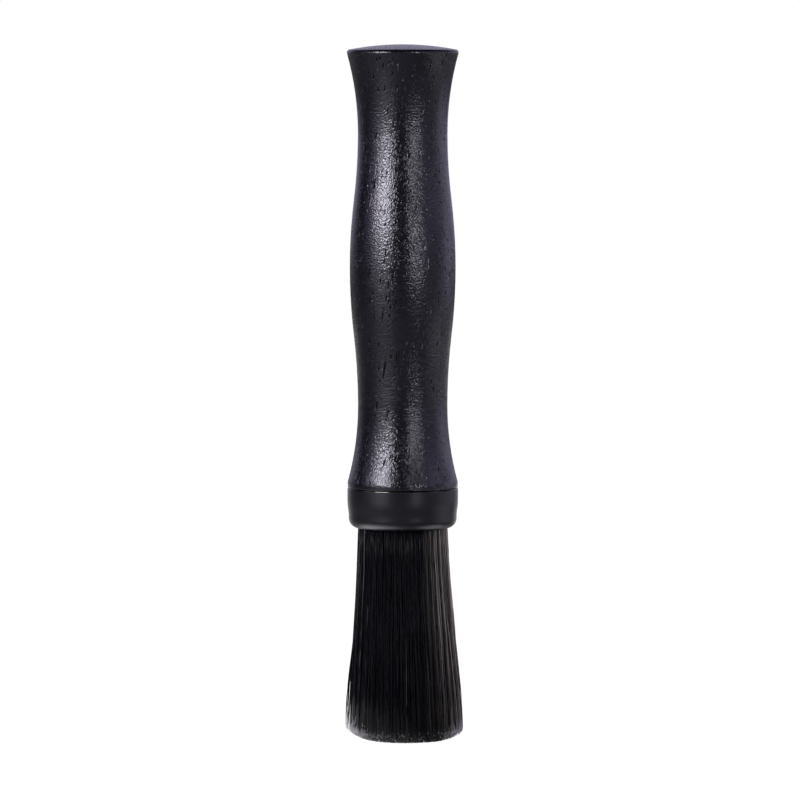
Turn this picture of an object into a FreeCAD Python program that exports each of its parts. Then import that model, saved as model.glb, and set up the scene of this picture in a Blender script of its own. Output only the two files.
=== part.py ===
"""A round counter brush: a turned wooden handle, a turned aluminium ferrule and a flared bundle of bristles.

The brush stands on its bristle tips. The origin is the middle of the tips, and +Z runs up the handle.
All sizes are millimetres, and every round piece is centred on the Z axis.
"""

import FreeCAD
import Part

import math
import os

# Lengths along the brush
bristle_length = 55.1  # tips to the ferrule's lower edge
ferrule_height = 10.45  # lower edge to the seam under the handle
handle_length = 114.45  # seam to the top of the dome

# Handle: two waists with a belly between them, flaring to a domed end
belly_radius = 13.67
belly_offset = 1.1  # belly above the middle between the waists
waist_radius = 11.57
rim_radius = 14.62  # where the flare would meet the dome if the edge between them were sharp
upper_flare_length = 21.5  # upper waist to the rim
lower_flare_length = 19.85  # straight band above the seam to the lower waist
base_band = 1.4  # straight band above the seam
dome_height = 1.5
rim_rounding = 0.8
band_rounding = 3.0  # where the lower flare runs into the straight band
base_rounding = 0.25
seam_step = 0.05  # the wood stays this far inside the ferrule

# Ferrule: a cup for the bristles, with a spigot that is glued into the handle
ferrule_radius = 14.32
ferrule_band = 3.3  # straight part below the seam
ferrule_narrowing = 0.36  # from the straight part down to the lower edge
ferrule_rounding = 2.55  # lower edge
seam_rounding = 0.35  # upper edge, at the seam
cup_wall = 2.65
mouth_chamfer = 0.1
web_thickness = 2.0  # between the cup and the spigot
spigot_radius = 7.5
spigot_length = 14.0
spigot_chamfer = 0.8
glue_groove_depth = 0.4
glue_groove_width = 1.0
glue_groove_pitch = 3.5
first_glue_groove = 3.0  # above the seam
glue_gap = 0.1  # between the spigot and the handle's bore
bore_end_gap = 0.8  # left above the spigot
bore_chamfer = 0.5

# Root plug: cast resin that binds the roots and keys them into the cup
plug_cover = 2.0  # resin above the root ends
root_depth = 3.5  # how deep the roots sit in the resin
resin_coat = 0.6  # resin between the roots and the cup's wall
resin_gap = 0.03
key_depth = 0.5
key_width = 1.0

# Bristle bundle: strands of bristle that spread towards tips trimmed to a slight dome with a flat middle
bundle_gap = 0.1  # between the bundle and the ferrule's mouth
root_shoulder = 0.4
tip_spread = 3.7  # how much wider the bundle is at the tips than at the mouth
tip_flat_radius = 8.0
tip_rise = 2.5  # how much higher the outermost tips end
strand_count = 120
mouth_groove = 0.15  # depth of the furrows between strands where they leave the ferrule
tip_groove = 0.6  # and at the tips
clump_count = 11  # broad waves round the bundle, where strands gather
clump_height = 0.1
strand_wander = 0.3  # how far a tip leans towards its neighbour, in strand widths
ragged_tips = 0.5

seam = bristle_length + ferrule_height
top = seam + handle_length
cup_radius = ferrule_radius - cup_wall
cup_ceiling = seam - web_thickness
root_top = cup_ceiling - plug_cover
plug_bottom = root_top - root_depth
root_radius = cup_radius - resin_coat
key_bottom = (plug_bottom + cup_ceiling - key_width) / 2
mouth_bundle_radius = cup_radius - bundle_gap

origin = FreeCAD.Vector(0, 0, 0)
up = FreeCAD.Vector(0, 0, 1)


def point(radius, height):
    return FreeCAD.Vector(radius, 0, height)


def straight_lines(points):
    return [Part.LineSegment(start, end).toShape() for start, end in zip(points, points[1:])]


def upright_arc(start, end):
    """An arc that leaves its start parallel to the axis."""
    across = end.x - start.x
    along = end.z - start.z
    radius = (across**2 + along**2) / (2 * across)
    half_turn = math.atan(across / along)
    middle = point(start.x + radius * (1 - math.cos(half_turn)), start.z + radius * math.sin(half_turn))
    return Part.Arc(start, middle, end).toShape()


def dome_arc(apex, edge):
    """An arc that is level at its apex, on the axis."""
    drop = apex.z - edge.z
    radius = (edge.x**2 + drop**2) / (2 * drop)
    half_way = edge.x / 2
    middle = point(half_way, apex.z - radius + math.sqrt(radius**2 - half_way**2))
    return Part.Arc(apex, middle, edge).toShape()


def turned(edges):
    """The solid that a closed half profile makes when it is turned about the axis."""
    profile = Part.Wire(Part.sortEdges(edges)[0])
    return Part.Face(profile).revolve(origin, up, 360)


def cylinder(radius, bottom, height):
    return Part.makeCylinder(radius, height, point(0, bottom))


def ring(inner_radius, outer_radius, bottom, height):
    return cylinder(outer_radius, bottom, height).cut(cylinder(inner_radius, bottom, height))


def round_rim(solid, rounding, radius, height):
    """Rounds the circular edge that the solid has at that radius and height."""
    rims = []
    for edge in solid.Edges:
        if edge.Degenerated or edge.Curve.TypeId != "Part::GeomCircle":
            continue
        circle = edge.Curve
        if abs(circle.Radius - radius) < 1e-6 and abs(circle.Center.z - height) < 1e-6:
            rims.append(edge)
    return solid.makeFillet(rounding, rims)


def make_handle():
    base_radius = ferrule_radius - seam_step
    band_top = seam + base_band
    rim_height = top - dome_height
    lower_waist_height = band_top + lower_flare_length
    upper_waist_height = rim_height - upper_flare_length
    belly_height = (lower_waist_height + upper_waist_height) / 2 + belly_offset
    turn_radius = (belly_radius + waist_radius) / 2
    lower_waist = point(waist_radius, lower_waist_height)
    upper_waist = point(waist_radius, upper_waist_height)
    lower_turn = point(turn_radius, (lower_waist_height + belly_height) / 2)
    upper_turn = point(turn_radius, (upper_waist_height + belly_height) / 2)
    belly = point(belly_radius, belly_height)
    rim = point(rim_radius, rim_height)
    bore_radius = spigot_radius + glue_gap
    bore_end = seam + spigot_length + bore_end_gap

    outside = [
        dome_arc(point(0, top), rim),
        upright_arc(upper_waist, rim),
        upright_arc(upper_waist, upper_turn),
        Part.Arc(upper_turn, belly, lower_turn).toShape(),
        upright_arc(lower_waist, lower_turn),
        upright_arc(lower_waist, point(base_radius, band_top)),
    ]
    inside = straight_lines(
        [
            point(base_radius, band_top),
            point(base_radius, seam),
            point(bore_radius + bore_chamfer, seam),
            point(bore_radius, seam + bore_chamfer),
            point(bore_radius, bore_end),
            point(0, bore_end),
            point(0, top),
        ]
    )
    handle = turned(outside + inside)
    handle = round_rim(handle, rim_rounding, rim_radius, rim_height)
    handle = round_rim(handle, band_rounding, base_radius, band_top)
    return round_rim(handle, base_rounding, base_radius, seam)


def glue_groove_heights():
    """Heights of as many glue grooves as the straight part of the spigot has room for."""
    room = spigot_length - spigot_chamfer - glue_groove_width - first_glue_groove
    count = int(room / glue_groove_pitch) + 1
    return [seam + first_glue_groove + number * glue_groove_pitch for number in range(count)]


def lower_edge(side_radius, mouth_radius):
    """Edges that round the ferrule's lower edge, as far as the mouth leaves room, and go on level to the mouth."""
    middle = point(side_radius - ferrule_rounding, bristle_length + ferrule_rounding)
    end_radius = max(mouth_radius, middle.x)
    end_turn = math.asin((end_radius - middle.x) / ferrule_rounding)
    turns = (math.pi / 2, (math.pi / 2 + end_turn) / 2, end_turn)
    places = [
        point(middle.x + ferrule_rounding * math.sin(turn), middle.z - ferrule_rounding * math.cos(turn))
        for turn in turns
    ]
    edges = [Part.Arc(*places).toShape()]
    if end_radius - mouth_radius > 1e-6:
        edges += straight_lines([places[-1], point(mouth_radius, bristle_length)])
    return edges


def make_ferrule():
    lower_radius = ferrule_radius - ferrule_narrowing
    spigot_end = seam + spigot_length
    band_bottom = point(ferrule_radius, seam - ferrule_band)
    rounding_top = point(lower_radius, bristle_length + ferrule_rounding)
    half_way = (band_bottom + rounding_top) * 0.5
    rounded = lower_edge(lower_radius, cup_radius + mouth_chamfer)
    mouth = rounded[-1].Vertexes[-1].Point
    outside = straight_lines(
        [
            band_bottom,
            point(ferrule_radius, seam),
            point(spigot_radius, seam),
            point(spigot_radius, spigot_end - spigot_chamfer),
            point(spigot_radius - spigot_chamfer, spigot_end),
            point(0, spigot_end),
            point(0, cup_ceiling),
            point(cup_radius, cup_ceiling),
            point(cup_radius, mouth.z + mouth_chamfer),
            mouth,
        ]
    )
    outside += [upright_arc(band_bottom, half_way), upright_arc(rounding_top, half_way)]
    ferrule = turned(outside + rounded)
    ferrule = round_rim(ferrule, seam_rounding, ferrule_radius, seam)
    for height in glue_groove_heights():
        ferrule = ferrule.cut(ring(spigot_radius - glue_groove_depth, spigot_radius, height, glue_groove_width))
    return ferrule.cut(ring(cup_radius, cup_radius + key_depth, key_bottom, key_width))


def make_root_plug():
    outer_radius = cup_radius - resin_gap
    plug = cylinder(outer_radius, plug_bottom, cup_ceiling - plug_bottom)
    key_height = key_width - 2 * resin_gap
    plug = plug.fuse(cylinder(outer_radius + key_depth, key_bottom + resin_gap, key_height))
    return plug.cut(cylinder(root_radius, plug_bottom, root_depth))


def bundle_radius(depth):
    """Radius of the bundle at a share of its free length, from 0 at the ferrule to 1 at the tips."""
    eased = depth**2 * (3 - 2 * depth)
    return mouth_bundle_radius + tip_spread * (depth + eased) / 2


def trimmed_height(radius):
    """Height of the trimmed ends at a radius: level in the middle, rising to the edge."""
    beyond_flat = (radius - tip_flat_radius) / (mouth_bundle_radius + tip_spread - tip_flat_radius)
    return tip_rise * max(0, beyond_flat) ** 2


def uneven(number, kind):
    """A fixed value from -1 to 1 for each strand, spread evenly and with no visible repeat."""
    golden_ratio = (1 + math.sqrt(5)) / 2
    return 2 * (number * (golden_ratio + math.sqrt(kind)) % 1) - 1


def plain_ring(radius, height):
    """Corners of a level ring, as many as the strand rings have."""
    corners = []
    for corner in range(2 * strand_count):
        turn = math.pi * corner / strand_count
        corners.append(FreeCAD.Vector(radius * math.cos(turn), radius * math.sin(turn), height))
    return corners


def strand_ring(radius, groove, depth, height_at):
    """Corners of a ring round the bundle that goes out over each strand and in between strands."""
    corners = []
    for strand in range(strand_count):
        clump = clump_height * math.sin(2 * math.pi * clump_count * strand / strand_count)
        crest = radius + depth * (clump + groove / 2 * uneven(strand, 2))
        lean = strand_wander * depth * uneven(strand, 3)
        ragged = ragged_tips * depth**8 * (1 + uneven(strand, 5)) / 2
        for place, reach, lift in ((lean, crest, ragged), (0.5, crest - groove, 0)):
            turn = 2 * math.pi * (strand + place) / strand_count
            height = height_at(reach) + lift
            corners.append(FreeCAD.Vector(reach * math.cos(turn), reach * math.sin(turn), height))
    return corners


def flat_face(corners):
    return Part.Face(Part.makePolygon(corners + corners[:1]))


def solid_through(rings):
    """A solid with a flat face at each end and triangles from each ring of corners to the next."""
    faces = [flat_face(rings[0]), flat_face(rings[-1])]
    for above, below in zip(rings, rings[1:]):
        for here in range(len(above)):
            after = (here + 1) % len(above)
            faces.append(flat_face([above[here], below[here], below[after]]))
            faces.append(flat_face([above[here], below[after], above[after]]))
    shell = Part.Shell(faces)
    shell.sewShape()
    return Part.Solid(shell)


def make_bristle_bundle():
    plain_radius = root_radius - resin_gap
    rings = [
        plain_ring(plain_radius, root_top),
        plain_ring(plain_radius, plug_bottom),
        plain_ring(mouth_bundle_radius, plug_bottom - root_shoulder),
    ]
    for depth in (0, 0.25, 0.5, 0.75):
        level = bristle_length * (1 - depth)
        groove = mouth_groove + (tip_groove - mouth_groove) * depth
        rings.append(strand_ring(bundle_radius(depth), groove, depth, lambda reach, level=level: level))
    rings.append(strand_ring(bundle_radius(1), tip_groove, 1, trimmed_height))
    half_way = (bundle_radius(1) + tip_flat_radius) / 2
    rings.append(strand_ring(half_way, mouth_groove, 0, trimmed_height))
    rings.append(plain_ring(tip_flat_radius, 0))
    return solid_through(rings)


def export(name, shape):
    shape.exportStep(os.path.join("parts", name + ".step"))


os.makedirs("parts", exist_ok=True)
export("handle", make_handle())
export("ferrule", make_ferrule())
export("root_plug", make_root_plug())
export("bristle_bundle", make_bristle_bundle())
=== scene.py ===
"""Dresses a packed counter brush: lacquered black wood, satin aluminium and separate bristles.

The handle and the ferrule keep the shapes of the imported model. The plain bundle is replaced by
thousands of bristles that fill the same form. Every length is in metres, and +Z runs up the
brush from its tips.
"""

import math

import bmesh
import bpy
import numpy as np
from mathutils import Matrix, Vector


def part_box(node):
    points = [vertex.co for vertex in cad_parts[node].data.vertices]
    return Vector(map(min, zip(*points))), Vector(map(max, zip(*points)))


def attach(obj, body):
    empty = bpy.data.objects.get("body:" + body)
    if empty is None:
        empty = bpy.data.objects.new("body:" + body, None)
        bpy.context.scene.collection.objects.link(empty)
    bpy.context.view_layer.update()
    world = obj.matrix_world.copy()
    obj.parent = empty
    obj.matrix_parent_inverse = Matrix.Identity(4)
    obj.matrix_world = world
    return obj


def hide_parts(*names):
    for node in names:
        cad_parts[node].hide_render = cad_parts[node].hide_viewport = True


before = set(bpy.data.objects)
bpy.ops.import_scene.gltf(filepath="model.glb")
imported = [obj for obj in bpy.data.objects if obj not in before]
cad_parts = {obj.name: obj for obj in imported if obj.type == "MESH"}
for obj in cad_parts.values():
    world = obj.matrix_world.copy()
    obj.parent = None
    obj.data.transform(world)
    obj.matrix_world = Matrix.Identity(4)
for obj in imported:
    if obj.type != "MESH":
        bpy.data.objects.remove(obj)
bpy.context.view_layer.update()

bl_info = {
    "name": "Counter brush",
    "version": (1, 0, 0),
    "blender": (4, 5, 0),
    "location": "View3D > Sidebar > Brush",
    "description": "Finishes a counter brush with a turned handle and grows its bristles",
    "category": "Object",
}

MM = 0.001
BODY = "root"
MOUTH_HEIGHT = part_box("ferrule")[0].z
SEAM_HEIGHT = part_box("handle")[0].z


def length(name, description, default):
    """A length that a user can change, in metres."""
    return bpy.props.FloatProperty(
        name=name,
        description=description,
        default=default,
        subtype="DISTANCE",
        unit="LENGTH",
        precision=5,
    )


def angle(name, description, degrees):
    """An angle that a user can change, given here in degrees."""
    return bpy.props.FloatProperty(
        name=name, description=description, default=math.radians(degrees), subtype="ANGLE"
    )


def share(name, description, default):
    """A share from 0 to 1 that a user can change."""
    return bpy.props.FloatProperty(
        name=name, description=description, default=default, min=0.0, max=1.0
    )


def number(name, description, default):
    """A whole number that a user can change."""
    return bpy.props.IntProperty(name=name, description=description, default=default)


def colour(name, description, default):
    """A colour that a user can change."""
    return bpy.props.FloatVectorProperty(
        name=name,
        description=description,
        default=default,
        subtype="COLOR",
        size=3,
        min=0.0,
        max=1.0,
    )


class BristleSettings(bpy.types.PropertyGroup):
    count: number("Bristles", "How many bristles the bundle has", 9000)
    thickness: length("Thickness", "Diameter of a bristle", 0.2 * MM)
    root_depth: length("Root depth", "How far the bristles reach up into the ferrule", 3.0 * MM)
    mouth_radius: length("Mouth radius", "Radius of the bundle at the ferrule's mouth", 11.5 * MM)
    tip_radius: length("Tip radius", "Radius of the bundle at the tips", 15.0 * MM)
    flat_radius: length("Flat radius", "Radius of the level middle of the tips", 8.5 * MM)
    tip_rise: length("Tip rise", "How much higher the outermost tips end", 2.5 * MM)
    lean: length("Lean", "How far the tips lean towards +X as a whole", 0.9 * MM)
    wander: length("Wander", "How far a tip strays from its even place", 0.28 * MM)
    bend: length("Bend", "How far a bristle bows out on its way", 0.16 * MM)
    kink: length("Kink", "How far a bristle wavers from its line", 0.09 * MM)
    clump_count: number("Clumps", "Tufts that form towards the tips", 520)
    clump_pull: share("Clump pull", "How far tips close up on the middle of their tuft", 0.3)
    shortfall: length("Shortfall", "Mean length that a bristle lacks at the trim", 0.08 * MM)
    edge_shortfall: length("Edge shortfall", "The same at the worn rim of the bundle", 1.3 * MM)
    stray_share: share("Strays", "Share of the bristles that stand off from the bundle", 0.04)
    stray_reach: length("Stray reach", "How far a stray tip stands off", 0.7 * MM)
    split: length("Split", "How far the few outermost bristles on -X stand off", 0.75 * MM)
    black: colour("Black", "Colour of the bristles", (0.0012, 0.0011, 0.0036))
    pale_black: colour("Paler black", "Colour of the paler bristles", (0.006, 0.0055, 0.0095))
    # Partly painted light: a few bristles of paler tone, whose colour also stands for the glints
    # of bristles that catch the light
    glint_streak: colour("Streaks", "Colour of the few palest bristles, partly painted glints", (0.11, 0.105, 0.11))
    # Painted light: a pale colour on the outer bristles of the flank towards +X, where light from
    # the right falls
    lightened: colour("Lightened black", "Colour of the dusty bristles on one flank", (0.42, 0.38, 0.36))
    sheen_side_turn: angle("Lightened side", "Turn from +X to the dusty flank", -8)
    # Partly painted light: the pale tips are worn, split bristle ends, and their near-white at the
    # sides towards +X and -X is painted light falling there
    tip: colour("Tips", "Colour at the pale tips, worn and painted with light", (0.88, 0.83, 0.92))
    pale_tip_length: share("Pale tip length", "Pale share of a bristle where its tip is palest", 0.06)
    roughness: share("Roughness", "Roughness of the bristles", 0.27)
    gloss: share("Gloss", "How strongly the bristles reflect, where 0.5 is plain plastic", 0.13)


class WoodSettings(bpy.types.PropertyGroup):
    stain: colour("Stain", "Colour of the stained wood", (0.0044, 0.0039, 0.0070))
    late_wood: colour("Late wood", "Colour of the denser bands", (0.0034, 0.0030, 0.0056))
    # Painted shade: the colour at the bottom of the open pores is darker than the stain, for the
    # shade inside them
    pore: colour("Pore shade", "Painted shade at the bottom of the open pores", (0.0015, 0.0015, 0.002))
    sheen_tint: colour("Lacquer tint", "Tint of what the lacquer reflects", (0.9, 0.87, 1.0))
    roughness: share("Roughness", "Roughness of the lacquer", 0.19)
    pore_width: length("Pore width", "Width of the pores", 0.42 * MM)
    pore_spacing: length("Pore spacing", "From pore to pore across the grain", 1.08 * MM)
    pore_depth: length("Pore depth", "Depth of the pores", 0.16 * MM)
    pore_length: length("Pore length", "Length over which a pore opens and closes", 1.5 * MM)
    slant: angle("Slant", "Sideways lean of the grain from the axis", 10)
    dive: angle("Dive", "Lean of the grain away from the front", -4)
    sand_size: length("Sand size", "Width of the fine grit in the lacquer", 0.25 * MM)
    sand_depth: length("Sand depth", "Depth of the fine grit in the lacquer", 0.076 * MM)


class FerruleSettings(bpy.types.PropertyGroup):
    black: colour("Colour", "Colour of the anodised aluminium", (0.0042, 0.0039, 0.0056))
    sheen_tint: colour("Sheen tint", "Tint of what the aluminium reflects", (0.92, 0.88, 1.0))
    roughness: share("Roughness", "Roughness of the anodised aluminium", 0.34)
    gloss: share("Gloss", "How strongly the coat reflects, where 0.5 is plain", 0.36)
    sand_size: length("Sand size", "Width of the fine grit in the coat", 0.12 * MM)
    sand_depth: length("Sand depth", "Depth of the fine grit in the coat", 0.006 * MM)
    edge_polish: share("Edge polish", "Roughness of the worn edge, as a share of the rest", 0.24)
    bare: colour("Bare metal", "Colour of the metal at the worn edge", (0.085, 0.083, 0.078))


class StageSettings(bpy.types.PropertyGroup):
    lens: length("Lens", "Focal length for a sensor 36 mm wide, in metres", 259.1 * MM)
    distance: length("Distance", "From the camera to the axis, along the floor", 1485.8 * MM)
    sideways: length("Sideways", "How far the camera stands to the side", -0.7 * MM)
    eye_height: length("Eye height", "Height of the camera above the floor", 178.5 * MM)
    tilt: angle("Tilt", "How far the camera looks down", 3.478)
    floor_radius: length("Floor radius", "Radius of the floor", 6.0)
    floor_white: share("Floor white", "How white the floor is before any light falls on it", 0.99)
    floor_dim: share("Dim floor", "White that polished surfaces see in the unlit floor", 0.07)
    front_light: share("Front light", "Light from the studio on the camera's side", 0.01)
    back_light: colour("Back light", "Light from the backdrop, as reflected", (0.56, 0.545, 0.72))


PLAIN_LIGHT = (1.0, 1.0, 1.0)
COOL_LIGHT = (0.96, 0.9, 1.2)
# Upright softboxes: name, azimuth in degrees, then distance, width, lower and upper edge in
# metres, brightness against white, and colour. Azimuth 0 is the camera's side, and 90 is +X.
SOFTBOXES = (
    ("key_light", -46, 0.6, 0.28, 0.19, 0.37, 22.7, PLAIN_LIGHT),
    ("key_skirt", -46, 0.6, 0.35, 0.0, 0.19, 1.3, PLAIN_LIGHT),
    ("key_wing", -75, 0.6, 0.25, 0.12, 0.36, 1.1, COOL_LIGHT),
    ("right_light", 28, 1.1, 0.1, 0.08, 0.32, 23.5, PLAIN_LIGHT),
    ("right_top", 28, 1.1, 0.18, 0.32, 0.74, 2.3, PLAIN_LIGHT),
    ("front_right_light", 52, 1.2, 0.5, 0.0, 0.8, 0.56, COOL_LIGHT),
    ("side_light", 82, 1.2, 0.7, 0.3, 0.8, 1.2, COOL_LIGHT),
    ("low_side_light", 78, 1.2, 0.7, 0.0, 0.3, 0.25, COOL_LIGHT),
    ("back_right_light", 115, 1.2, 0.7, 0.0, 0.3, 1.0, COOL_LIGHT),
)
# Lit pools on the floor, as polished surfaces see them: middle x and y, radius in metres, and
# brightness against white
FLOOR_POOLS = (
    (-0.045, 0.0, 0.06, 3.4),
    (0.055, 0.0, 0.045, 1.7),
    (0.0, 0.03, 0.12, 0.25),
    (0.0, 0.35, 0.3, 0.5),
    (0.35, 0.0, 0.2, 1.4),
    (0.9, 0.0, 0.4, 0.45),
    (0.0, 0.8, 0.7, 0.95),
)
POOL_CORE = 0.4  # the evenly lit middle of a pool, as a share of its radius
FLOOR_PAINT = (0.3, 0.3, 0.3, 1.0)
BACKDROP = (0.45, 0.9)  # how far behind a direction points where the backdrop starts and is full
SENSOR_WIDTH = 36  # mm
SIGHT = 100  # metres that the camera sees


def new_tree(owner):
    """The empty node tree of a material or a world."""
    owner.use_nodes = True
    owner.node_tree.nodes.clear()
    return owner.node_tree


def fill(tree, socket, value):
    """Links a socket to another, or sets its value."""
    if isinstance(value, bpy.types.NodeSocket):
        tree.links.new(value, socket)
    else:
        socket.default_value = value


def add(tree, kind, inputs=None, **settings):
    """Adds a node, sets its properties, and fills its inputs with values or links."""
    made = tree.nodes.new(kind)
    for name, value in settings.items():
        setattr(made, name, value)
    for name, value in (inputs or {}).items():
        fill(tree, made.inputs[name], value)
    return made


def maths(tree, operation, first, second):
    return add(tree, "ShaderNodeMath", {0: first, 1: second}, operation=operation).outputs[0]


def vector_maths(tree, operation, first, second):
    return add(tree, "ShaderNodeVectorMath", {0: first, 1: second}, operation=operation)


def remap(tree, value, low, high, to_low=0.0, to_high=1.0):
    """The value moved from one range to another, and held inside it."""
    inputs = {
        "Value": value,
        "From Min": low,
        "From Max": high,
        "To Min": to_low,
        "To Max": to_high,
    }
    made = add(tree, "ShaderNodeMapRange", inputs, interpolation_type="SMOOTHSTEP")
    return made.outputs["Result"]


# A Mix node names its sockets for values, vectors and colours alike, so these go by number
MIX_FIRST, MIX_SECOND, MIX_RESULT = 6, 7, 2


def blend_colours(tree, amount, first, second):
    """A colour between two others, each a link or red, green and blue."""
    made = add(tree, "ShaderNodeMix", {"Factor": amount}, data_type="RGBA")
    for place, value in ((MIX_FIRST, first), (MIX_SECOND, second)):
        linked = isinstance(value, bpy.types.NodeSocket)
        fill(tree, made.inputs[place], value if linked else (*value, 1.0))
    return made.outputs[MIX_RESULT]


def noise(tree, place, scale=1.0, detail=0.0):
    made = add(tree, "ShaderNodeTexNoise", {"Vector": place, "Scale": scale, "Detail": detail})
    return made.outputs["Fac"]


def stretched(tree, place, across, along):
    """A place with X and Y times one factor, and Z times another."""
    inputs = {"X": across, "Y": across, "Z": along}
    factors = add(tree, "ShaderNodeCombineXYZ", inputs).outputs[0]
    return vector_maths(tree, "MULTIPLY", place, factors).outputs[0]


def object_place(tree):
    return add(tree, "ShaderNodeTexCoord").outputs["Object"]


def bump(tree, height):
    """The normal of a surface with this relief in metres."""
    made = add(tree, "ShaderNodeBump", {"Height": height, "Distance": 1.0, "Strength": 1.0})
    return made.outputs["Normal"]


def finish_material(tree, inputs):
    """Ends a material in one Principled shader with the given inputs."""
    principled = add(tree, "ShaderNodeBsdfPrincipled", inputs)
    add(tree, "ShaderNodeOutputMaterial", {"Surface": principled.outputs["BSDF"]})


def new_group(name, inputs, outputs):
    """A shader node group with a vector input named Position, float inputs and float outputs."""
    group = bpy.data.node_groups.new(name, "ShaderNodeTree")
    sockets = group.interface
    sockets.new_socket("Position", in_out="INPUT", socket_type="NodeSocketVector")
    for socket_name, default in inputs.items():
        socket = sockets.new_socket(socket_name, in_out="INPUT", socket_type="NodeSocketFloat")
        socket.default_value = default
    for socket_name in outputs:
        sockets.new_socket(socket_name, in_out="OUTPUT", socket_type="NodeSocketFloat")
    source = group.nodes.new("NodeGroupInput")
    return group, source, group.nodes.new("NodeGroupOutput")


def sand_group():
    """Fine grit in a coat. Height is about 0 to 1.

    The grains are as wide as Size, and Stretch times as long along Z.
    """
    if "sand" in bpy.data.node_groups:
        return bpy.data.node_groups["sand"]
    defaults = {"Size": 0.3 * MM, "Stretch": 1.0}
    group, source, target = new_group("sand", defaults, ["Height"])
    across = maths(group, "DIVIDE", 1.0, source.outputs["Size"])
    along = maths(group, "DIVIDE", across, source.outputs["Stretch"])
    placed = stretched(group, source.outputs["Position"], across, along)
    fill(group, target.inputs["Height"], noise(group, placed))
    return group


WAVE_SCALE = 150.0  # of the slow waves in the run of the pores, per metre
WAVE_SHIFT = (0.5 * MM, 0.5 * MM, 0.0)
OPENING_WIDTH = 0.9  # across the grain, openings are about as far apart as the pores
PORE_OPENS = (0.46, 0.58)  # the noise at which a pore starts to open and is fully open
PORE_RIM = (-0.15, 0.7)  # where the mask starts and is full, in pore radii inwards from the rim
BAND_STRETCH = 0.1  # bands are ten times as long as they are wide


def pore_group():
    """Vessels that run along Z and are cut open by the surface.

    Mask is 1 in a pore, and Band is the grain's banding.
    """
    defaults = {
        "Spacing": 0.9 * MM,
        "Width": 0.3 * MM,
        "Length": 2.0 * MM,
        "Band Size": 4 * MM,
    }
    group, source, target = new_group("wood_pores", defaults, ["Mask", "Band"])
    place = source.outputs["Position"]
    inputs = {"Vector": place, "Scale": WAVE_SCALE, "Detail": 1.0}
    wave = add(group, "ShaderNodeTexNoise", inputs).outputs["Color"]
    shift = vector_maths(group, "MULTIPLY", wave, WAVE_SHIFT).outputs[0]
    bent = vector_maths(group, "ADD", place, shift).outputs[0]

    per_spacing = maths(group, "DIVIDE", 1.0, source.outputs["Spacing"])
    inputs = {"Vector": stretched(group, bent, per_spacing, 0.0), "Scale": 1.0}
    settings = {"voronoi_dimensions": "2D", "feature": "F1"}
    apart = add(group, "ShaderNodeTexVoronoi", inputs, **settings).outputs["Distance"]

    per_length = maths(group, "DIVIDE", 1.0, source.outputs["Length"])
    per_opening = maths(group, "MULTIPLY", per_spacing, OPENING_WIDTH)
    opening = noise(group, stretched(group, bent, per_opening, per_length))
    openness = remap(group, opening, *PORE_OPENS)
    half_width = maths(group, "MULTIPLY", source.outputs["Width"], 0.5)
    radius = maths(group, "MULTIPLY", half_width, per_spacing)
    open_radius = maths(group, "MULTIPLY", radius, openness)
    inside = maths(group, "SUBTRACT", open_radius, apart)
    inwards = maths(group, "DIVIDE", inside, radius)
    fill(group, target.inputs["Mask"], remap(group, inwards, *PORE_RIM))

    per_band = maths(group, "DIVIDE", 1.0, source.outputs["Band Size"])
    band_length = maths(group, "MULTIPLY", per_band, BAND_STRETCH)
    band = noise(group, stretched(group, place, per_band, band_length), detail=3.0)
    fill(group, target.inputs["Band"], band)
    return group


SAND_STRETCH = 2.0  # the lacquer's grit is longer along the grain
PIT_SHADE = (0.65, 0.97)  # the pore mask at which the painted shade at a pore's bottom starts and is full
PIT_ROUGHNESS = 0.6


def wood_material(settings):
    material = bpy.data.materials.new("stained_wood")
    tree = new_tree(material)
    turn = (settings.dive, -settings.slant, 0.0)
    inputs = {"Vector": object_place(tree), "Rotation": turn}
    along_grain = add(tree, "ShaderNodeMapping", inputs, vector_type="POINT").outputs[0]
    pore_values = {
        "Position": along_grain,
        "Spacing": settings.pore_spacing,
        "Width": settings.pore_width,
        "Length": settings.pore_length,
    }
    pores = add(tree, "ShaderNodeGroup", pore_values, node_tree=pore_group())
    mask = pores.outputs["Mask"]
    sand_values = {"Position": along_grain, "Size": settings.sand_size, "Stretch": SAND_STRETCH}
    sand = add(tree, "ShaderNodeGroup", sand_values, node_tree=sand_group())
    band = remap(tree, pores.outputs["Band"], 0.35, 0.65)
    ground = blend_colours(tree, band, settings.late_wood, settings.stain)
    pore_height = maths(tree, "MULTIPLY", mask, -settings.pore_depth)
    sand_height = maths(tree, "MULTIPLY", sand.outputs["Height"], settings.sand_depth)
    # Painted shade: the bottom of a pore is made black metal, which sends no gloss back, to stand
    # for the shade inside it
    pit_shade = remap(tree, mask, *PIT_SHADE)
    inputs = {
        # Painted shade: the pores are darkened inside
        "Base Color": blend_colours(tree, mask, ground, settings.pore),
        "Metallic": pit_shade,
        "Roughness": remap(tree, pit_shade, 0.0, 1.0, settings.roughness, PIT_ROUGHNESS),
        "Specular Tint": (*settings.sheen_tint, 1.0),
        "Normal": bump(tree, maths(tree, "ADD", pore_height, sand_height)),
    }
    finish_material(tree, inputs)
    return material


# How far below the seam the worn edge starts and is bare
EDGE_START, EDGE_BARE = 0.4 * MM, 0.25 * MM
CLOUD = (0.3, 0.7)  # the part of a cloudy noise that is used
CLOUD_ROUGHNESS = 0.03  # how far the coat's roughness moves with the clouds, each way
CLOUD_PALE = 1.25  # how much paler the coat is in the clouds


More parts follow.
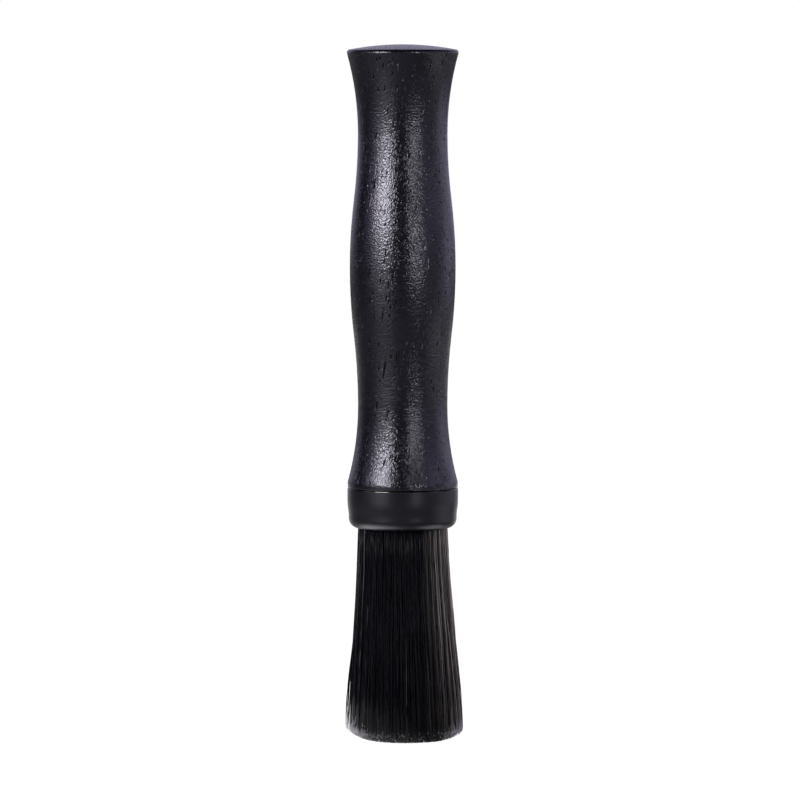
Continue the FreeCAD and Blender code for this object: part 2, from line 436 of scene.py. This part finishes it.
def aluminium_material(settings):
    material = bpy.data.materials.new("black_aluminium")
    tree = new_tree(material)
    place = object_place(tree)
    sand_values = {"Position": place, "Size": settings.sand_size, "Stretch": 1.0}
    sand = add(tree, "ShaderNodeGroup", sand_values, node_tree=sand_group())
    cloud = noise(tree, place, scale=160.0, detail=3.0)
    rough = settings.roughness
    satin = remap(tree, cloud, *CLOUD, rough - CLOUD_ROUGHNESS, rough + CLOUD_ROUGHNESS)
    height = add(tree, "ShaderNodeSeparateXYZ", {"Vector": place}).outputs["Z"]
    edge = remap(tree, height, SEAM_HEIGHT - EDGE_START, SEAM_HEIGHT - EDGE_BARE)
    polish = remap(tree, edge, 0.0, 1.0, 1.0, settings.edge_polish)
    pale = [value * CLOUD_PALE for value in settings.black]
    coat = blend_colours(tree, cloud, settings.black, pale)
    inputs = {
        "Base Color": blend_colours(tree, edge, coat, settings.bare),
        "Metallic": edge,
        "Roughness": maths(tree, "MULTIPLY", satin, polish),
        "Specular IOR Level": settings.gloss,
        "Specular Tint": (*settings.sheen_tint, 1.0),
        "Normal": bump(tree, maths(tree, "MULTIPLY", sand.outputs["Height"], settings.sand_depth)),
    }
    finish_material(tree, inputs)
    return material


RESIN_COLOURS = ((0.3, 0.22, 0.1), (0.42, 0.36, 0.24))
RESIN_ROUGHNESS = (0.25, 0.4)


def resin_material():
    material = bpy.data.materials.new("resin")
    tree = new_tree(material)
    cloud = noise(tree, object_place(tree), scale=300.0, detail=3.0)
    inputs = {
        "Base Color": blend_colours(tree, cloud, *RESIN_COLOURS),
        "Roughness": remap(tree, cloud, *CLOUD, *RESIN_ROUGHNESS),
    }
    finish_material(tree, inputs)
    return material


PALER_TONES = (0.4, 0.95)
PALEST_TONES = (0.97, 0.98)
SHEEN_ALONG = (0.15, 0.85, 1.0, 0.3)  # between these shares of a bristle, the painted sheen on the flank thins to 0.3
PALE_TIP_END = (1.0, 1.02)
ROUGHNESS_SPREAD = 0.1  # how far a bristle's roughness moves with its tone, each way


def bristle_material(settings):
    """Reads four attributes of the bristles.

    along goes from 0 at the root to 1 at the tip, and the other three differ by bristle: tone, a
    painted sheen on the flank towards +X, and worn, split tips whose pale colour is partly painted
    light.
    """
    material = bpy.data.materials.new("bristle")
    tree = new_tree(material)
    along, tone, flank_sheen, wear_and_light = (
        add(tree, "ShaderNodeAttribute", attribute_name=name).outputs["Fac"]
        for name in ("along", "tone", "flank_sheen", "wear_and_light")
    )
    paler = remap(tree, tone, *PALER_TONES)
    shaft = blend_colours(tree, paler, settings.black, settings.pale_black)
    # Partly painted light: the few palest bristles also stand for glints
    with_glints = blend_colours(tree, remap(tree, tone, *PALEST_TONES), shaft, settings.glint_streak)
    # Painted light: the flank towards +X is paled to stand for the light from the right
    lightened = maths(tree, "MULTIPLY", flank_sheen, remap(tree, along, *SHEEN_ALONG))
    sheened = blend_colours(tree, lightened, with_glints, settings.lightened)
    # Partly painted light: the pale tip colour covers the worn, split ends, longest at the sides
    # towards +X and -X, where it stands for light falling there
    reach = maths(tree, "MULTIPLY", wear_and_light, settings.pale_tip_length)
    tip_wear_and_light = remap(tree, maths(tree, "ADD", along, reach), *PALE_TIP_END)
    rough, smooth = settings.roughness + ROUGHNESS_SPREAD, settings.roughness - ROUGHNESS_SPREAD
    inputs = {
        "Base Color": blend_colours(tree, tip_wear_and_light, sheened, settings.tip),
        "Roughness": remap(tree, tone, 0.0, 1.0, rough, smooth),
        "Specular IOR Level": settings.gloss,
    }
    finish_material(tree, inputs)
    return material


SEED = 18
STEPS = 8  # points on the line of a bristle
GOLDEN_ANGLE = math.pi * (3 - math.sqrt(5))
TURN_JITTER = 0.02  # how unevenly bristles stand round the middle, in radians
CLUMP_JITTER = 0.1  # the same for tufts
STEP_JITTER = 0.4  # how far a point slides along its bristle, in steps
NARROWING = 0.055  # how far the flare lags behind a plain cone at first, and leads it later
LATE = 1.5  # tips drift apart late on their way: with this power of the free length
NEAR_MIDDLE = 0.05  # within this share of the radius, outwards has little meaning
# Bristles bow less towards the rim, from full at 0.82 of the radius to a quarter at 0.97
BOW_END, BOW_SLOPE, LEAST_BOW = 1.02, 5, 0.25
SIDE = 0.5  # the bundle's sides begin at this share of its radius, towards +X and -X
WORN_RIM = 0.12  # width of the worn rim, as a share of the radius
RIM_WEAR, SIDE_WEAR = 0.3, 0.7  # of the wear, what is found all round, and at the two sides only
SPLIT_EDGE = 0.98  # bristles beyond this share of the radius, on -X, split off
SPLIT_START, SPLIT_LENGTH = 0.55, 0.25  # where on the free length, and over how much of it
FLANK = 0.5  # the painted sheen on the flank towards +X ends where the cosine of the turn from its middle is this
SHEEN_STRENGTH = 4.8
SIDE_TIP_POWER = 1.3
SIDE_TIP_RANGE = (0.5, 1.15)
FRAYED_ELSEWHERE, ELSEWHERE_FRAY = 0.12, 0.25  # share of all bristles with worn tips elsewhere, and how worn they are


def ramp(value, start, width):
    """From 0 at the start to 1 after the width."""
    return np.clip((value - start) / width, 0, 1)


def sunflower(count, jitter, random):
    """Even places in a unit disc: turns, distances from the middle, and x with y."""
    order = np.arange(count)
    turn = order * GOLDEN_ANGLE + random.normal(0, jitter, count)
    radial = np.sqrt((order + 0.5) / count)
    return turn, radial, np.stack([radial * np.cos(turn), radial * np.sin(turn)], axis=1)


def ways_to_clumps(even, clumps):
    """From each bristle's place to the middle of the nearest tuft."""
    apart = ((even[:, None, :] - clumps[None, :, :]) ** 2).sum(axis=2)
    return clumps[np.argmin(apart, axis=1)] - even


def ways_off(settings, random, radial, even):
    """How far each bristle wanders at the tip, bows on its way, and stands off if it strays."""
    count = settings.count
    wander = random.normal(0, 1, (count, 2)) * settings.wander
    bend = random.normal(0, 1, (count, 2)) * settings.bend
    stray = random.random(count) < settings.stray_share
    outward = even / np.maximum(radial, NEAR_MIDDLE)[:, None]
    reach = np.abs(random.normal(0, 1, (count, 1))) * settings.stray_reach
    bow = np.clip((BOW_END - radial) * BOW_SLOPE, LEAST_BOW, 1)[:, None]
    return wander, bend * bow, outward * (reach * stray[:, None] * radial[:, None] ** 4)


def tip_heights(settings, random, radial, swept):
    """Where each bristle ends: a level middle, a rising edge, and a ragged and worn rim."""
    worn = ramp(radial, 1 - WORN_RIM, WORN_RIM) ** 2 * (RIM_WEAR + SIDE_WEAR * swept)
    lacking = settings.shortfall + worn * settings.edge_shortfall
    shortfall = random.exponential(1.0, settings.count) * lacking
    beyond_flat = np.maximum(0, radial * settings.tip_radius - settings.flat_radius)
    rise = (beyond_flat / (settings.tip_radius - settings.flat_radius)) ** 2
    return settings.tip_rise * rise + shortfall


def flare(settings, free):
    """Radius of the bundle at a share of its free length, 0 at the ferrule and 1 at the tips."""
    mouth = settings.mouth_radius - settings.thickness / 2
    widening = settings.tip_radius - settings.mouth_radius
    return mouth + widening * (free - NARROWING * np.sin(2 * math.pi * free))


def bristle_looks(settings, random, turn, radial, swept):
    """Tone, a painted sheen on the flank towards +X, and worn tips partly whitened by painted
    light, of every bristle.
    """
    count = settings.count
    tone = random.random(count)
    # Painted light: the outer bristles of the flank towards +X get a pale painted sheen
    flank = ramp(np.cos(turn - settings.sheen_side_turn), FLANK, 1 - FLANK)
    flank_sheen = flank**2 * radial**3 * random.random(count) ** 2 * SHEEN_STRENGTH
    # Partly painted light: tips at the sides towards +X and -X get the most pale colour, both for
    # worn ends and for the light falling there
    wear_and_light = swept**SIDE_TIP_POWER * random.uniform(*SIDE_TIP_RANGE, count)
    wear_and_light = np.maximum(wear_and_light, ELSEWHERE_FRAY * (random.random(count) < FRAYED_ELSEWHERE))
    return {"tone": tone, "flank_sheen": flank_sheen, "wear_and_light": wear_and_light}


def bristle_lines(settings):
    """Points along every bristle from root to tip, its share of the radius, and its looks."""
    random = np.random.default_rng(SEED)
    count = settings.count
    turn, radial, even = sunflower(count, TURN_JITTER, random)
    clumps = sunflower(settings.clump_count, CLUMP_JITTER, random)[2]
    gather = ways_to_clumps(even, clumps) * settings.tip_radius * settings.clump_pull
    wander, bend, stand_off = ways_off(settings, random, radial, even)
    swept = ramp(np.abs(even[:, 0]), SIDE, 1 - SIDE)
    tip_height = tip_heights(settings, random, radial, swept)
    root_height = MOUTH_HEIGHT + settings.root_depth
    split = settings.split * (even[:, 0] < -SPLIT_EDGE)

    lines = np.empty((count, STEPS, 3))
    for step in range(STEPS):
        inner = 0 < step < STEPS - 1
        slide = inner * random.uniform(-STEP_JITTER, STEP_JITTER, count)
        height = root_height + (tip_height - root_height) * (step + slide) / (STEPS - 1)
        free = np.clip(1 - height / MOUTH_HEIGHT, 0, 1)[:, None]
        place = even * flare(settings, free) + (gather + wander) * free**LATE
        place += bend * np.sin(math.pi * free) + stand_off * free**2
        place += random.normal(0, 1, (count, 2)) * settings.kink * (free > 0)
        place[:, 0] += settings.lean * free[:, 0]
        place[:, 0] -= split * ramp(free[:, 0], SPLIT_START, SPLIT_LENGTH)
        lines[:, step, :2] = place
        lines[:, step, 2] = height
    return lines, radial, bristle_looks(settings, random, turn, radial, swept)


# How thick a bristle is at these shares of its length, as a share of its full thickness
TAPER_ALONG, TAPER_WIDTH = (0.0, 0.6, 1.0), (1.0, 0.95, 0.45)
TURNS_BY_TONE = 997.0  # a large factor, so that the tone turns every bristle another way


def one_bristle(steps):
    """A closed upright rod with a square section of unit radius and height 1, in equal steps."""
    shape = bmesh.new()
    bmesh.ops.create_circle(shape, cap_ends=True, radius=1.0, segments=4)
    top = shape.faces[:] + shape.edges[:]
    for step in range(steps - 1):
        first = step == 0
        raised = bmesh.ops.extrude_face_region(shape, geom=top, use_keep_orig=first)["geom"]
        top = [part for part in raised if not isinstance(part, bmesh.types.BMVert)]
        corners = [part for part in raised if isinstance(part, bmesh.types.BMVert)]
        bmesh.ops.translate(shape, verts=corners, vec=(0, 0, 1 / (steps - 1)))
    bmesh.ops.recalc_face_normals(shape, faces=shape.faces)
    mesh = bpy.data.meshes.new("one_bristle")
    shape.to_mesh(mesh)
    shape.free()
    return mesh


def repeated(mesh, count):
    """A mesh of many copies of the given one, all in the same place."""
    source = bpy.data.objects.new("repeated", mesh)
    bpy.context.scene.collection.objects.link(source)
    array = source.modifiers.new("copies", "ARRAY")
    array.count = count
    array.use_relative_offset = False
    graph = bpy.context.evaluated_depsgraph_get()
    many = bpy.data.meshes.new_from_object(source.evaluated_get(graph), depsgraph=graph)
    bpy.data.objects.remove(source)
    bpy.data.meshes.remove(mesh)
    return many


def bent_rods(rods, lines, tone, thickness):
    """The points of straight unit rods, moved on to the lines of the bristles."""
    across, deep, along = rods[:, :, 0], rods[:, :, 1], rods[:, :, 2]
    step = np.rint(along * (lines.shape[1] - 1)).astype(int)
    width = np.interp(along, TAPER_ALONG, TAPER_WIDTH) * thickness / 2
    turn = (tone * TURNS_BY_TONE)[:, None]
    bent = lines[np.arange(len(lines))[:, None], step]
    bent[:, :, 0] += (across * np.cos(turn) - deep * np.sin(turn)) * width
    bent[:, :, 1] += (across * np.sin(turn) + deep * np.cos(turn)) * width
    return bent


def bristle_piece(name, lines, looks, settings, material):
    """One mesh of bristles: many copies of one, each bent to its own line."""
    count, steps, _ = lines.shape
    mesh = repeated(one_bristle(steps), count)
    mesh.name = name
    rods = np.empty(len(mesh.vertices) * 3)
    mesh.vertices.foreach_get("co", rods)
    rods = rods.reshape(count, -1, 3)
    bent = bent_rods(rods, lines, looks["tone"], settings.thickness)
    mesh.vertices.foreach_set("co", bent.ravel())
    mesh.polygons.foreach_set("use_smooth", np.ones(len(mesh.polygons), bool))
    by_point = {look: np.repeat(values, rods.shape[1]) for look, values in looks.items()}
    for attribute, values in {"along": rods[:, :, 2].ravel(), **by_point}.items():
        layer = mesh.attributes.new(attribute, "FLOAT", "POINT")
        layer.data.foreach_set("value", values.astype(np.float32))
    mesh.materials.clear()
    mesh.materials.append(material)
    piece = bpy.data.objects.new(name, mesh)
    bpy.context.scene.collection.objects.link(piece)
    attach(piece, BODY)
    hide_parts("bristle_bundle")
    return piece


# The bundle's pieces, from the middle outwards, with the same number of bristles in each
LAYERS = ("bristles_core", "bristles_middle", "bristles_outer")


class BRUSH_OT_grow_bristles(bpy.types.Operator):
    """Grow the bristles that stand for the plain bundle"""

    bl_idname = "brush.grow_bristles"
    bl_label = "Grow bristles"

    def execute(self, context):
        settings = context.scene.brush_bristles
        material = bristle_material(settings)
        lines, radial, looks = bristle_lines(settings)
        edges = np.sqrt(np.linspace(0, 1, len(LAYERS) + 1))
        for name, low, high in zip(LAYERS, edges, edges[1:]):
            chosen = (radial >= low) & (radial < high)
            chosen_looks = {look: values[chosen] for look, values in looks.items()}
            bristle_piece(name, lines[chosen], chosen_looks, settings, material)
        return {"FINISHED"}


def coat_node(name, material):
    """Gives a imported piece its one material."""
    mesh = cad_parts[name].data
    mesh.materials.clear()
    mesh.materials.append(material)


class BRUSH_OT_finish_handle(bpy.types.Operator):
    """Give the handle its stained, open-pored and lacquered wood"""

    bl_idname = "brush.finish_handle"
    bl_label = "Finish handle"

    def execute(self, context):
        coat_node("handle", wood_material(context.scene.brush_wood))
        return {"FINISHED"}


class BRUSH_OT_finish_ferrule(bpy.types.Operator):
    """Give the ferrule its black anodised aluminium, and the plug inside it its resin"""

    bl_idname = "brush.finish_ferrule"
    bl_label = "Finish ferrule"

    def execute(self, context):
        coat_node("ferrule", aluminium_material(context.scene.brush_ferrule))
        coat_node("root_plug", resin_material())
        return {"FINISHED"}


def softbox(name, azimuth, distance, width, lower, upper, brightness, light_colour):
    """An upright rectangular lamp that faces the brush's axis."""
    turn = math.radians(azimuth)
    away = Vector((math.sin(turn), -math.cos(turn), 0))
    middle = away * distance + Vector((0, 0, (lower + upper) / 2))
    lamp = bpy.data.lights.new(name, "AREA")
    lamp.shape = "RECTANGLE"
    lamp.size = width
    lamp.size_y = upper - lower
    lamp.energy = brightness * math.pi * width * (upper - lower)
    lamp.color = light_colour
    box = bpy.data.objects.new(name, lamp)
    facing = away.to_track_quat("Z", "Y").to_matrix().to_4x4()
    box.matrix_world = Matrix.Translation(middle) @ facing
    box.visible_camera = False
    bpy.context.scene.collection.objects.link(box)


def light_world(settings):
    """White to the camera, and to all else a bright backdrop behind a dim room."""
    world = bpy.data.worlds.new("studio")
    bpy.context.scene.world = world
    tree = new_tree(world)
    rays = add(tree, "ShaderNodeLightPath")
    direction = add(tree, "ShaderNodeTexCoord").outputs["Generated"]
    backwards = add(tree, "ShaderNodeSeparateXYZ", {"Vector": direction}).outputs["Y"]
    behind = remap(tree, backwards, *BACKDROP)
    studio = blend_colours(tree, behind, [settings.front_light] * 3, settings.back_light)
    through = rays.outputs["Is Transmission Ray"]
    seen = maths(tree, "MAXIMUM", rays.outputs["Is Camera Ray"], through)
    shown = blend_colours(tree, seen, studio, PLAIN_LIGHT)
    background = add(tree, "ShaderNodeBackground", {"Color": shown, "Strength": 1.0})
    add(tree, "ShaderNodeOutputWorld", {"Surface": background.outputs[0]})


def pooled_light(tree, dim):
    """The dim floor with its lit pools."""
    place = object_place(tree)
    lit = add(tree, "ShaderNodeValue").outputs[0]
    lit.default_value = dim
    for across, deep, radius, brightness in FLOOR_POOLS:
        apart = vector_maths(tree, "DISTANCE", place, (across, deep, 0.0)).outputs["Value"]
        pool = remap(tree, apart, radius, radius * POOL_CORE, 0.0, brightness)
        lit = maths(tree, "ADD", lit, pool)
    return lit


def floor_material(settings):
    """White to the camera; polished surfaces see lit pools, as under real softboxes."""
    material = bpy.data.materials.new("studio_floor")
    tree = new_tree(material)
    rays = add(tree, "ShaderNodeLightPath").outputs
    reflected = maths(tree, "MAXIMUM", rays["Is Glossy Ray"], rays["Is Transmission Ray"])
    mirrored = maths(tree, "MULTIPLY", reflected, pooled_light(tree, settings.floor_dim))
    seen = maths(tree, "MULTIPLY", rays["Is Camera Ray"], settings.floor_white)
    strength = maths(tree, "MAXIMUM", seen, mirrored)
    glow = add(tree, "ShaderNodeEmission", {"Color": (*PLAIN_LIGHT, 1.0), "Strength": strength})
    paint = add(tree, "ShaderNodeBsdfDiffuse", {"Color": FLOOR_PAINT})
    both = add(tree, "ShaderNodeAddShader", {0: glow.outputs[0], 1: paint.outputs[0]})
    add(tree, "ShaderNodeOutputMaterial", {"Surface": both.outputs[0]})
    return material


def lay_floor(settings):
    shape = bmesh.new()
    bmesh.ops.create_circle(shape, cap_ends=True, radius=settings.floor_radius, segments=96)
    mesh = bpy.data.meshes.new("floor")
    shape.to_mesh(mesh)
    shape.free()
    mesh.materials.append(floor_material(settings))
    floor = bpy.data.objects.new("floor", mesh)
    bpy.context.scene.collection.objects.link(floor)


def place_camera(settings):
    """The camera in front of the brush, where the photograph was taken from."""
    optics = bpy.data.cameras.new("camera")
    optics.sensor_width = SENSOR_WIDTH
    optics.lens = settings.lens / MM
    optics.clip_end = SIGHT
    camera = bpy.data.objects.new("camera", optics)
    camera.location = (settings.sideways, -settings.distance, settings.eye_height)
    camera.rotation_euler = (math.pi / 2 - settings.tilt, 0, 0)
    bpy.context.scene.collection.objects.link(camera)
    bpy.context.scene.camera = camera


class BRUSH_OT_set_stage(bpy.types.Operator):
    """Set up the floor, the softboxes, the backdrop and the camera"""

    bl_idname = "brush.set_stage"
    bl_label = "Set stage"

    def execute(self, context):
        settings = context.scene.brush_stage
        context.scene.view_settings.view_transform = "Standard"
        light_world(settings)
        for box in SOFTBOXES:
            softbox(*box)
        lay_floor(settings)
        place_camera(settings)
        return {"FINISHED"}


OPERATORS = (
    BRUSH_OT_set_stage,
    BRUSH_OT_finish_handle,
    BRUSH_OT_finish_ferrule,
    BRUSH_OT_grow_bristles,
)


class BRUSH_PT_panel(bpy.types.Panel):
    """Sizes and finishes of the brush, and the steps that make it"""

    bl_idname = "BRUSH_PT_panel"
    bl_label = "Counter brush"
    bl_space_type = "VIEW_3D"
    bl_region_type = "UI"
    bl_category = "Brush"

    def draw(self, context):
        for name in SETTINGS:
            column = self.layout.column(align=True)
            settings = getattr(context.scene, name)
            for key in settings.__annotations__:
                column.prop(settings, key)
        for operator in OPERATORS:
            self.layout.operator(operator.bl_idname)


SETTINGS = {
    "brush_stage": StageSettings,
    "brush_wood": WoodSettings,
    "brush_ferrule": FerruleSettings,
    "brush_bristles": BristleSettings,
}
CLASSES = (*SETTINGS.values(), *OPERATORS, BRUSH_PT_panel)


def register():
    for part in CLASSES:
        bpy.utils.register_class(part)
    for name, group in SETTINGS.items():
        setattr(bpy.types.Scene, name, bpy.props.PointerProperty(type=group))


def unregister():
    for name in SETTINGS:
        delattr(bpy.types.Scene, name)
    for part in reversed(CLASSES):
        bpy.utils.unregister_class(part)


def main():
    register()
    bpy.ops.brush.set_stage()
    bpy.ops.brush.finish_handle()
    bpy.ops.brush.finish_ferrule()
    bpy.ops.brush.grow_bristles()


if __name__ == "__main__":
    main()
